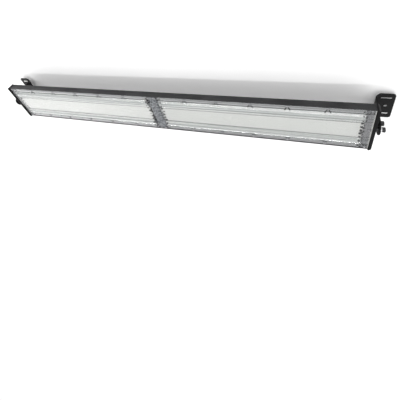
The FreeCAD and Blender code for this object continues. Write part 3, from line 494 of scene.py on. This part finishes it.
for node, finish in FINISH_OF.items():
    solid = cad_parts[node]
    if not solid.material_slots:
        solid.data.materials.append(finish)
    for place in solid.material_slots:
        place.material = finish
print("finished solids:", len(FINISH_OF), "of", len(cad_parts))

# %% [markdown]
# ## Places for the finer pieces
# Screws, bolts and LED packages come in sets, and one node of the frame holds a whole set. Each solid of the
# set is found by walking its mesh from vertex to vertex, and its box says where the finer piece goes.

# %% Find the solids of a set
MERGE_DISTANCE = 0.00001


def merged_copy(node):
    """A bmesh of a node's solids, whose loose triangles are joined at their corners."""
    shape = bmesh.new()
    shape.from_mesh(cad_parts[node].data)
    bmesh.ops.remove_doubles(shape, verts=shape.verts, dist=MERGE_DISTANCE)
    return shape


def solids_in(node):
    """Lowest and highest corner of every separate solid in a node."""
    shape = merged_copy(node)
    boxes, seen = [], set()
    for first in shape.verts:
        if first in seen:
            continue
        seen.add(first)
        waiting, places = [first], []
        while waiting:
            vert = waiting.pop()
            places.append(vert.co.copy())
            for edge in vert.link_edges:
                other = edge.other_vert(vert)
                if other not in seen:
                    seen.add(other)
                    waiting.append(other)
        boxes.append((Vector([min(p[i] for p in places) for i in range(3)]),
                      Vector([max(p[i] for p in places) for i in range(3)])))
    shape.free()
    return boxes


LENS_SCREW_BOXES = solids_in("lens_screws")
CAP_SCREW_BOXES = solids_in("end_cap_screws")
BOLT_BOXES = solids_in("tilt_bolts")
print("screws and bolts:", len(LENS_SCREW_BOXES), len(CAP_SCREW_BOXES), len(BOLT_BOXES))

# %% Turn a mesh into a piece of the lamp
def new_piece(name, shape, finishes, node, sharp_over=35):
    """Make an object from a bmesh, give it its finishes, and let it stand for one node."""
    mesh = bpy.data.meshes.new(name)
    shape.to_mesh(mesh)
    shape.free()
    for finish in finishes:
        mesh.materials.append(finish)
    mesh.shade_smooth()
    mesh.set_sharp_from_angle(angle=math.radians(sharp_over))
    piece = bpy.data.objects.new(name, mesh)
    bpy.context.scene.collection.objects.link(piece)
    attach(piece, "lamp")
    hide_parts(node)
    return piece


print("piece helper ready")

# %% Turn solids and stamp copies
def spun(profile, steps):
    """A closed turned solid: (radius, height) points spun round Z."""
    shape = bmesh.new()
    verts = [shape.verts.new((radius, 0, height)) for radius, height in profile]
    edges = [shape.edges.new(pair) for pair in zip(verts, verts[1:])]
    bmesh.ops.spin(shape, geom=verts + edges, axis=(0, 0, 1), cent=(0, 0, 0), steps=steps,
                   angle=math.tau, use_merge=True, use_duplicate=False)
    bmesh.ops.remove_doubles(shape, verts=shape.verts, dist=0.000001)
    bmesh.ops.recalc_face_normals(shape, faces=shape.faces)
    return shape


def stamp(target, master, place, head_way):
    """Add a copy of the master, whose head points down: its seat at place, its head along head_way."""
    before = len(target.verts)
    target.from_mesh(master)
    target.verts.ensure_lookup_table()
    turn = Vector((0, 0, -1)).rotation_difference(Vector(head_way)).to_matrix().to_4x4()
    bmesh.ops.transform(target, matrix=Matrix.Translation(place) @ turn, verts=target.verts[before:])


def as_mesh(name, shape):
    """Keep a finished master as a mesh, and count the edges that would leave it open."""
    mesh = bpy.data.meshes.new(name)
    open_edges = sum(1 for edge in shape.edges if len(edge.link_faces) != 2)
    print(name, "faces:", len(shape.faces), "open edges:", open_edges)
    shape.to_mesh(mesh)
    shape.free()
    return mesh


print("turning and stamping ready")

# %% [markdown]
# ## Pan-head screws
# The lenses and caps are held by pan-head screws with a cross recess. The head and shank are one turned
# solid. Four cuts mark out the cross on the crown, and extruding it inward with a slight taper makes the
# recess that a driver would bite into.

# %% Master screw
HEAD_R, HEAD_RISE, CORE_R, SCREW_STEPS = 0.0037, 0.0022, 0.00165, 24
CROWN_RISE = HEAD_RISE * 0.93
CROSS_REACH, CROSS_HALF, CROSS_DEPTH, CROSS_TAPER = 0.0021, 0.00045, 0.0012, 0.7


def pan_head_screw(length):
    """A screw with its seat at zero, its head below and its shank above."""
    shape = spun([(0, -HEAD_RISE), (0.0011, -HEAD_RISE * 0.99), (CROSS_REACH, -CROWN_RISE),
                  (0.0029, -HEAD_RISE * 0.78), (0.0034, -HEAD_RISE * 0.52), (HEAD_R, -HEAD_RISE * 0.2),
                  (HEAD_R, 0), (CORE_R, 0), (CORE_R, length - 0.001), (0.0006, length), (0, length)],
                 SCREW_STEPS)
    for way in ((1, 0, 0), (0, 1, 0)):
        for side in (-1, 1):
            bmesh.ops.bisect_plane(shape, geom=shape.verts[:] + shape.edges[:] + shape.faces[:],
                                   plane_co=[side * CROSS_HALF * step for step in way], plane_no=way)
    cross = []
    for face in shape.faces:
        middle = face.calc_center_median()
        on_crown = middle.z < -CROWN_RISE and math.hypot(middle.x, middle.y) < CROSS_REACH
        if on_crown and min(abs(middle.x), abs(middle.y)) < CROSS_HALF:
            cross.append(face)
    pushed = bmesh.ops.extrude_face_region(shape, geom=cross)["geom"]
    floor_verts = [part for part in pushed if isinstance(part, bmesh.types.BMVert)]
    bmesh.ops.delete(shape, geom=[face for face in cross if face.is_valid], context="FACES")
    bmesh.ops.scale(shape, verts=floor_verts, vec=(CROSS_TAPER, CROSS_TAPER, 1))
    bmesh.ops.translate(shape, verts=floor_verts, vec=(0, 0, CROSS_DEPTH))
    bmesh.ops.recalc_face_normals(shape, faces=shape.faces)
    return shape


LENS_SCREW_LENGTH, CAP_SCREW_LENGTH = 0.0095, 0.020
lens_screw_mesh = as_mesh("lens_screw_master", pan_head_screw(LENS_SCREW_LENGTH))
cap_screw_mesh = as_mesh("cap_screw_master", pan_head_screw(CAP_SCREW_LENGTH))

# %% Place the screws
def stamp_at_ends(target, master, boxes, head_rise):
    """Stamp fasteners that point along the lamp, each with its head outward at its own end."""
    for low, high in boxes:
        end = 1 if low.x > 0 else -1
        seat_x = end * (max(abs(low.x), abs(high.x)) - head_rise)
        stamp(target, master, (seat_x, (low.y + high.y) / 2, (low.z + high.z) / 2), (end, 0, 0))


lens_set = bmesh.new()
for low, high in LENS_SCREW_BOXES:
    middle = (low + high) / 2
    stamp(lens_set, lens_screw_mesh, (middle.x, middle.y, low.z + HEAD_RISE), (0, 0, -1))
lens_screws = new_piece("lens_pan_screws", lens_set, [lens_screw_steel], "lens_screws")

cap_set = bmesh.new()
stamp_at_ends(cap_set, cap_screw_mesh, CAP_SCREW_BOXES, HEAD_RISE)
cap_screws = new_piece("cap_pan_screws", cap_set, [plated_steel], "end_cap_screws")
print("screw faces:", len(lens_screws.data.polygons) + len(cap_screws.data.polygons))

# %% [markdown]
# ## End caps that stand proud
# The caps close the extrusion and guard the lens edges, so their foot reaches a little below the lens. A copy
# of each cap's solid is merged, and only the band of vertices at its foot moves down: its walls stay flat and
# its bevel keeps its size. Extruding the underside would leave the old bevel as a groove.

# %% Lower the feet of the caps
FOOT_BAND = 0.003
FOOT_DROP = 0.003


def proud_cap(node):
    """One cap, with the band at its foot moved down."""
    shape = merged_copy(node)
    foot = min(vert.co.z for vert in shape.verts)
    low = [vert for vert in shape.verts if vert.co.z < foot + FOOT_BAND]
    bmesh.ops.translate(shape, verts=low, vec=(0, 0, -FOOT_DROP))
    return new_piece("proud_" + node, shape, [black_coat], node, sharp_over=25)


caps = [proud_cap("end_cap_left"), proud_cap("end_cap_right")]
print("cap foot:", round(min(vert.co.z for vert in caps[0].data.vertices), 4))

# %% [markdown]
# ## Tilt bolts
# The brackets turn on socket-head bolts whose heads are knurled, so that fingers can start them. The head is
# turned with 48 steps. Every second line of its rim is then pulled in for the knurl, and the ring of the
# socket is moved onto a hexagon.

# %% Master bolt
BOLT_HEAD_R, BOLT_HEAD_RISE, BOLT_R = 0.0065, 0.008, 0.004
SOCKET_FLATS, SOCKET_DEPTH, BOLT_LENGTH = 0.006, 0.004, 0.020
RIM_STEPS, KNURL_SHARE = 48, 0.94


def tilt_bolt():
    """A bolt with its seat at zero, its knurled head below and its shank above."""
    ring = SOCKET_FLATS / math.sqrt(3)
    socket_floor = SOCKET_DEPTH - BOLT_HEAD_RISE
    shape = spun([(0, socket_floor), (ring, socket_floor), (ring, -BOLT_HEAD_RISE),
                  (BOLT_HEAD_R - 0.0006, -BOLT_HEAD_RISE), (BOLT_HEAD_R, -BOLT_HEAD_RISE + 0.0006),
                  (BOLT_HEAD_R, -0.0015), (BOLT_HEAD_R - 0.0004, 0), (BOLT_R, 0),
                  (BOLT_R, BOLT_LENGTH - 0.001), (BOLT_R - 0.001, BOLT_LENGTH), (0, BOLT_LENGTH)], RIM_STEPS)
    for vert in shape.verts:
        radius, angle = math.hypot(vert.co.x, vert.co.y), math.atan2(vert.co.y, vert.co.x)
        share = 1.0
        if radius > BOLT_HEAD_R - 0.0001 and round(angle / math.tau * RIM_STEPS) % 2:
            share = KNURL_SHARE
        elif abs(radius - ring) < 0.0001:
            off_flat = (angle + math.pi / 6) % (math.pi / 3) - math.pi / 6
            share = SOCKET_FLATS / 2 / math.cos(off_flat) / ring
        bmesh.ops.scale(shape, verts=[vert], vec=(share, share, 1))
    bmesh.ops.recalc_face_normals(shape, faces=shape.faces)
    return shape


bolt_mesh = as_mesh("tilt_bolt_master", tilt_bolt())
bolt_set = bmesh.new()
stamp_at_ends(bolt_set, bolt_mesh, BOLT_BOXES, BOLT_HEAD_RISE)
tilt_bolts = new_piece("knurled_tilt_bolts", bolt_set, [dark_bolt_steel], "tilt_bolts", 20)
print("bolt faces:", len(tilt_bolts.data.polygons))

# %% [markdown]
# ## LED packages
# Each package is a small white body with softened edges and a sunk yellow window. There are over a hundred,
# so one cube, one bevel and one inset have to do: twenty-two faces each.

# %% One set of packages for each board
PACKAGE_EDGE, WINDOW_RIM, WINDOW_SINK = 0.0002, 0.0004, 0.00012


def led_packages(node):
    """All packages of one board, each with its window in the second finish."""
    shape = bmesh.new()
    for low, high in solids_in(node):
        size, middle = high - low, (low + high) / 2
        body = bmesh.ops.create_cube(shape, size=1.0)["verts"]
        bmesh.ops.scale(shape, verts=body, vec=size)
        bmesh.ops.translate(shape, verts=body, vec=middle)
    edges = [edge for edge in shape.edges if max(vert.co.z for vert in edge.verts) < high.z - 0.0001
             or abs(edge.verts[0].co.z - edge.verts[1].co.z) > 0.0001]
    bmesh.ops.bevel(shape, geom=edges, offset=PACKAGE_EDGE, offset_type="OFFSET", affect="EDGES", segments=1,
                    profile=0.5, material=-1)
    bmesh.ops.recalc_face_normals(shape, faces=shape.faces)
    fronts = [face for face in shape.faces if face.normal.z < -0.99]
    bmesh.ops.inset_individual(shape, faces=fronts, thickness=WINDOW_RIM, depth=-WINDOW_SINK)
    for face in fronts:
        face.material_index = 1
    return new_piece(node.replace("chips", "packages"), shape, [board_white, phosphor], node)


led_sets = [led_packages("led_chips_%s_%s" % (row, end))
            for row in ("near", "far") for end in ("left", "right")]
print("LED faces:", sum(len(piece.data.polygons) for piece in led_sets))

# %% [markdown]
# ## Stage
# The lamp hangs under a pale ceiling, and the ceiling catches its soft shadow. A pale floor lies well below.
# The ceiling's upper side is see-through, so that it hides nothing when the lamp is looked at from above. It
# lies 12 mm over the flanges, the room that a flange's corner needs when its bracket turns. The floor is seen
# by the camera alone, because two planes this wide would shut out the world's light.

# %% Ceiling and floor
STAGE_HALF, CEILING_GAP, FLOOR_HEIGHT = 40.0, 0.012, -2.2
PLASTER_PATCHES, PLASTER_GRAIN, PLASTER_DEPTH = 3, 200, 0.0002


def stage_plane(name, half, height, facing_down):
    """A square plane for the stage, at one height."""
    shape = bmesh.new()
    bmesh.ops.create_grid(shape, x_segments=1, y_segments=1, size=half)
    if facing_down:
        bmesh.ops.reverse_faces(shape, faces=shape.faces)
    bmesh.ops.translate(shape, verts=shape.verts, vec=(0, 0, height))
    mesh = bpy.data.meshes.new(name)
    shape.to_mesh(mesh)
    shape.free()
    plane = bpy.data.objects.new(name, mesh)
    bpy.context.scene.collection.objects.link(plane)
    return plane


def plaster(name, see_through_back):
    """Pale plaster, with a back that can be clear."""
    finish, tree, shader = new_finish(name, roughness=0.9)
    where = piece_coords(tree)
    tone = ramp(tree, grain(tree, where, PLASTER_PATCHES),
                [(0.3, (0.86, 0.86, 0.86)), (0.7, (0.89, 0.89, 0.89))])
    tree.links.new(tone, shader.inputs["Base Color"])
    relief = bump(tree, grain(tree, where, PLASTER_GRAIN), PLASTER_DEPTH, 0.2)
    tree.links.new(relief, shader.inputs["Normal"])
    if see_through_back:
        output = tree.nodes["Material Output"]
        side = tree.nodes.new("ShaderNodeNewGeometry")
        clear = tree.nodes.new("ShaderNodeBsdfTransparent")
        mix = tree.nodes.new("ShaderNodeMixShader")
        tree.links.new(side.outputs["Backfacing"], mix.inputs["Fac"])
        tree.links.new(shader.outputs["BSDF"], mix.inputs[1])
        tree.links.new(clear.outputs["BSDF"], mix.inputs[2])
        tree.links.new(mix.outputs["Shader"], output.inputs["Surface"])
    return finish


ceiling = stage_plane("ceiling", STAGE_HALF, cad_high.z + CEILING_GAP, True)
ceiling.data.materials.append(plaster("ceiling_plaster", True))
floor = stage_plane("floor", STAGE_HALF, FLOOR_HEIGHT, False)
floor.data.materials.append(plaster("floor_plaster", False))
for kind in ("diffuse", "glossy", "transmission", "shadow"):
    setattr(floor, "visible_" + kind, False)
print("ceiling at", round(cad_high.z + CEILING_GAP, 4), "floor at", FLOOR_HEIGHT)

# %% [markdown]
# ## Light
# An even pale world lights the lamp from all round, so the only shadow is the soft one where the lamp is near
# the ceiling. One large, weak light beyond the lamp gives the left lens its sheen. A second one in front of
# the left end makes the wall paler there than at the right. A low one behind picks out the fins and the
# spine, and a long narrow one below draws a bright line along every dome, as a strip light does in a studio.
# The Standard view transform shows the colours as they were made, so that the pale ground stays pale.

# %% World and lamps
WORLD_STRENGTH = 1.32


def soft_light(name, place, aim, size, power):
    """A rectangular light, aimed at a point."""
    data = bpy.data.lights.new(name, "AREA")
    data.shape = "RECTANGLE"
    data.size, data.size_y = size
    data.energy = power
    light = bpy.data.objects.new(name, data)
    light.location = place
    light.rotation_euler = (Vector(aim) - Vector(place)).to_track_quat("-Z", "Y").to_euler()
    bpy.context.scene.collection.objects.link(light)


world = bpy.data.worlds.new("soft_world")
bpy.context.scene.world = world
world.use_nodes = True
world.node_tree.nodes["Background"].inputs["Color"].default_value = (1, 1, 1, 1)
world.node_tree.nodes["Background"].inputs["Strength"].default_value = WORLD_STRENGTH
soft_light("beyond", (-2.1, 1.4, -1.2), (-0.3, 0, -0.1), (2.4, 1.0), 8)
soft_light("left_front", (-1.5, -1.1, -0.15), (-0.5, 0, -0.09), (0.9, 0.7), 5)
soft_light("behind", (0.1, 1.2, -0.04), (0, 0.03, -0.06), (2.4, 0.06), 9)
soft_light("strip_below", (0.0, -0.42, -2.0), (0, -0.05, -0.1), (3.4, 0.07), 13)
bpy.context.scene.view_settings.view_transform = "Standard"

# %% [markdown]
# ## Camera
# The camera looks up at the lamp from below and in front of it. Its turn is given about Z, X and its own line
# of sight, and the vertical shift keeps the lamp in the upper part of the frame.

# %% Place the camera
SENSOR_WIDTH, FOCAL_LENGTH, SHIFT_UP = 36, 25.98867, -0.305075
ROUND_Z, ROUND_X, ROUND_SIGHT = 28.5312, 44.7677, -22.8116
eye = Vector((0.4304, -0.6269, -0.6234))
turn = (Matrix.Rotation(math.radians(ROUND_Z), 3, "Z") @ Matrix.Rotation(math.radians(ROUND_X), 3, "X")
        @ Matrix.Rotation(math.radians(ROUND_SIGHT), 3, "Y") @ Matrix.Rotation(math.radians(90), 3, "X"))
lens_data = bpy.data.cameras.new("main_camera")
lens_data.sensor_width = SENSOR_WIDTH
lens_data.lens = FOCAL_LENGTH
lens_data.shift_y = SHIFT_UP
lens_data.clip_start = 0.05
camera = bpy.data.objects.new("main_camera", lens_data)
camera.matrix_world = Matrix.Translation(eye) @ turn.to_4x4()
bpy.context.scene.collection.objects.link(camera)
bpy.context.scene.camera = camera
print("lens:", round(lens_data.lens, 2), "mm")

# %% [markdown]
# ## Last step
# The view layer is brought up to date. The dressed lamp has to stay inside the construction
# model's box.

# %% Bring the view layer up to date
bpy.context.view_layer.update()
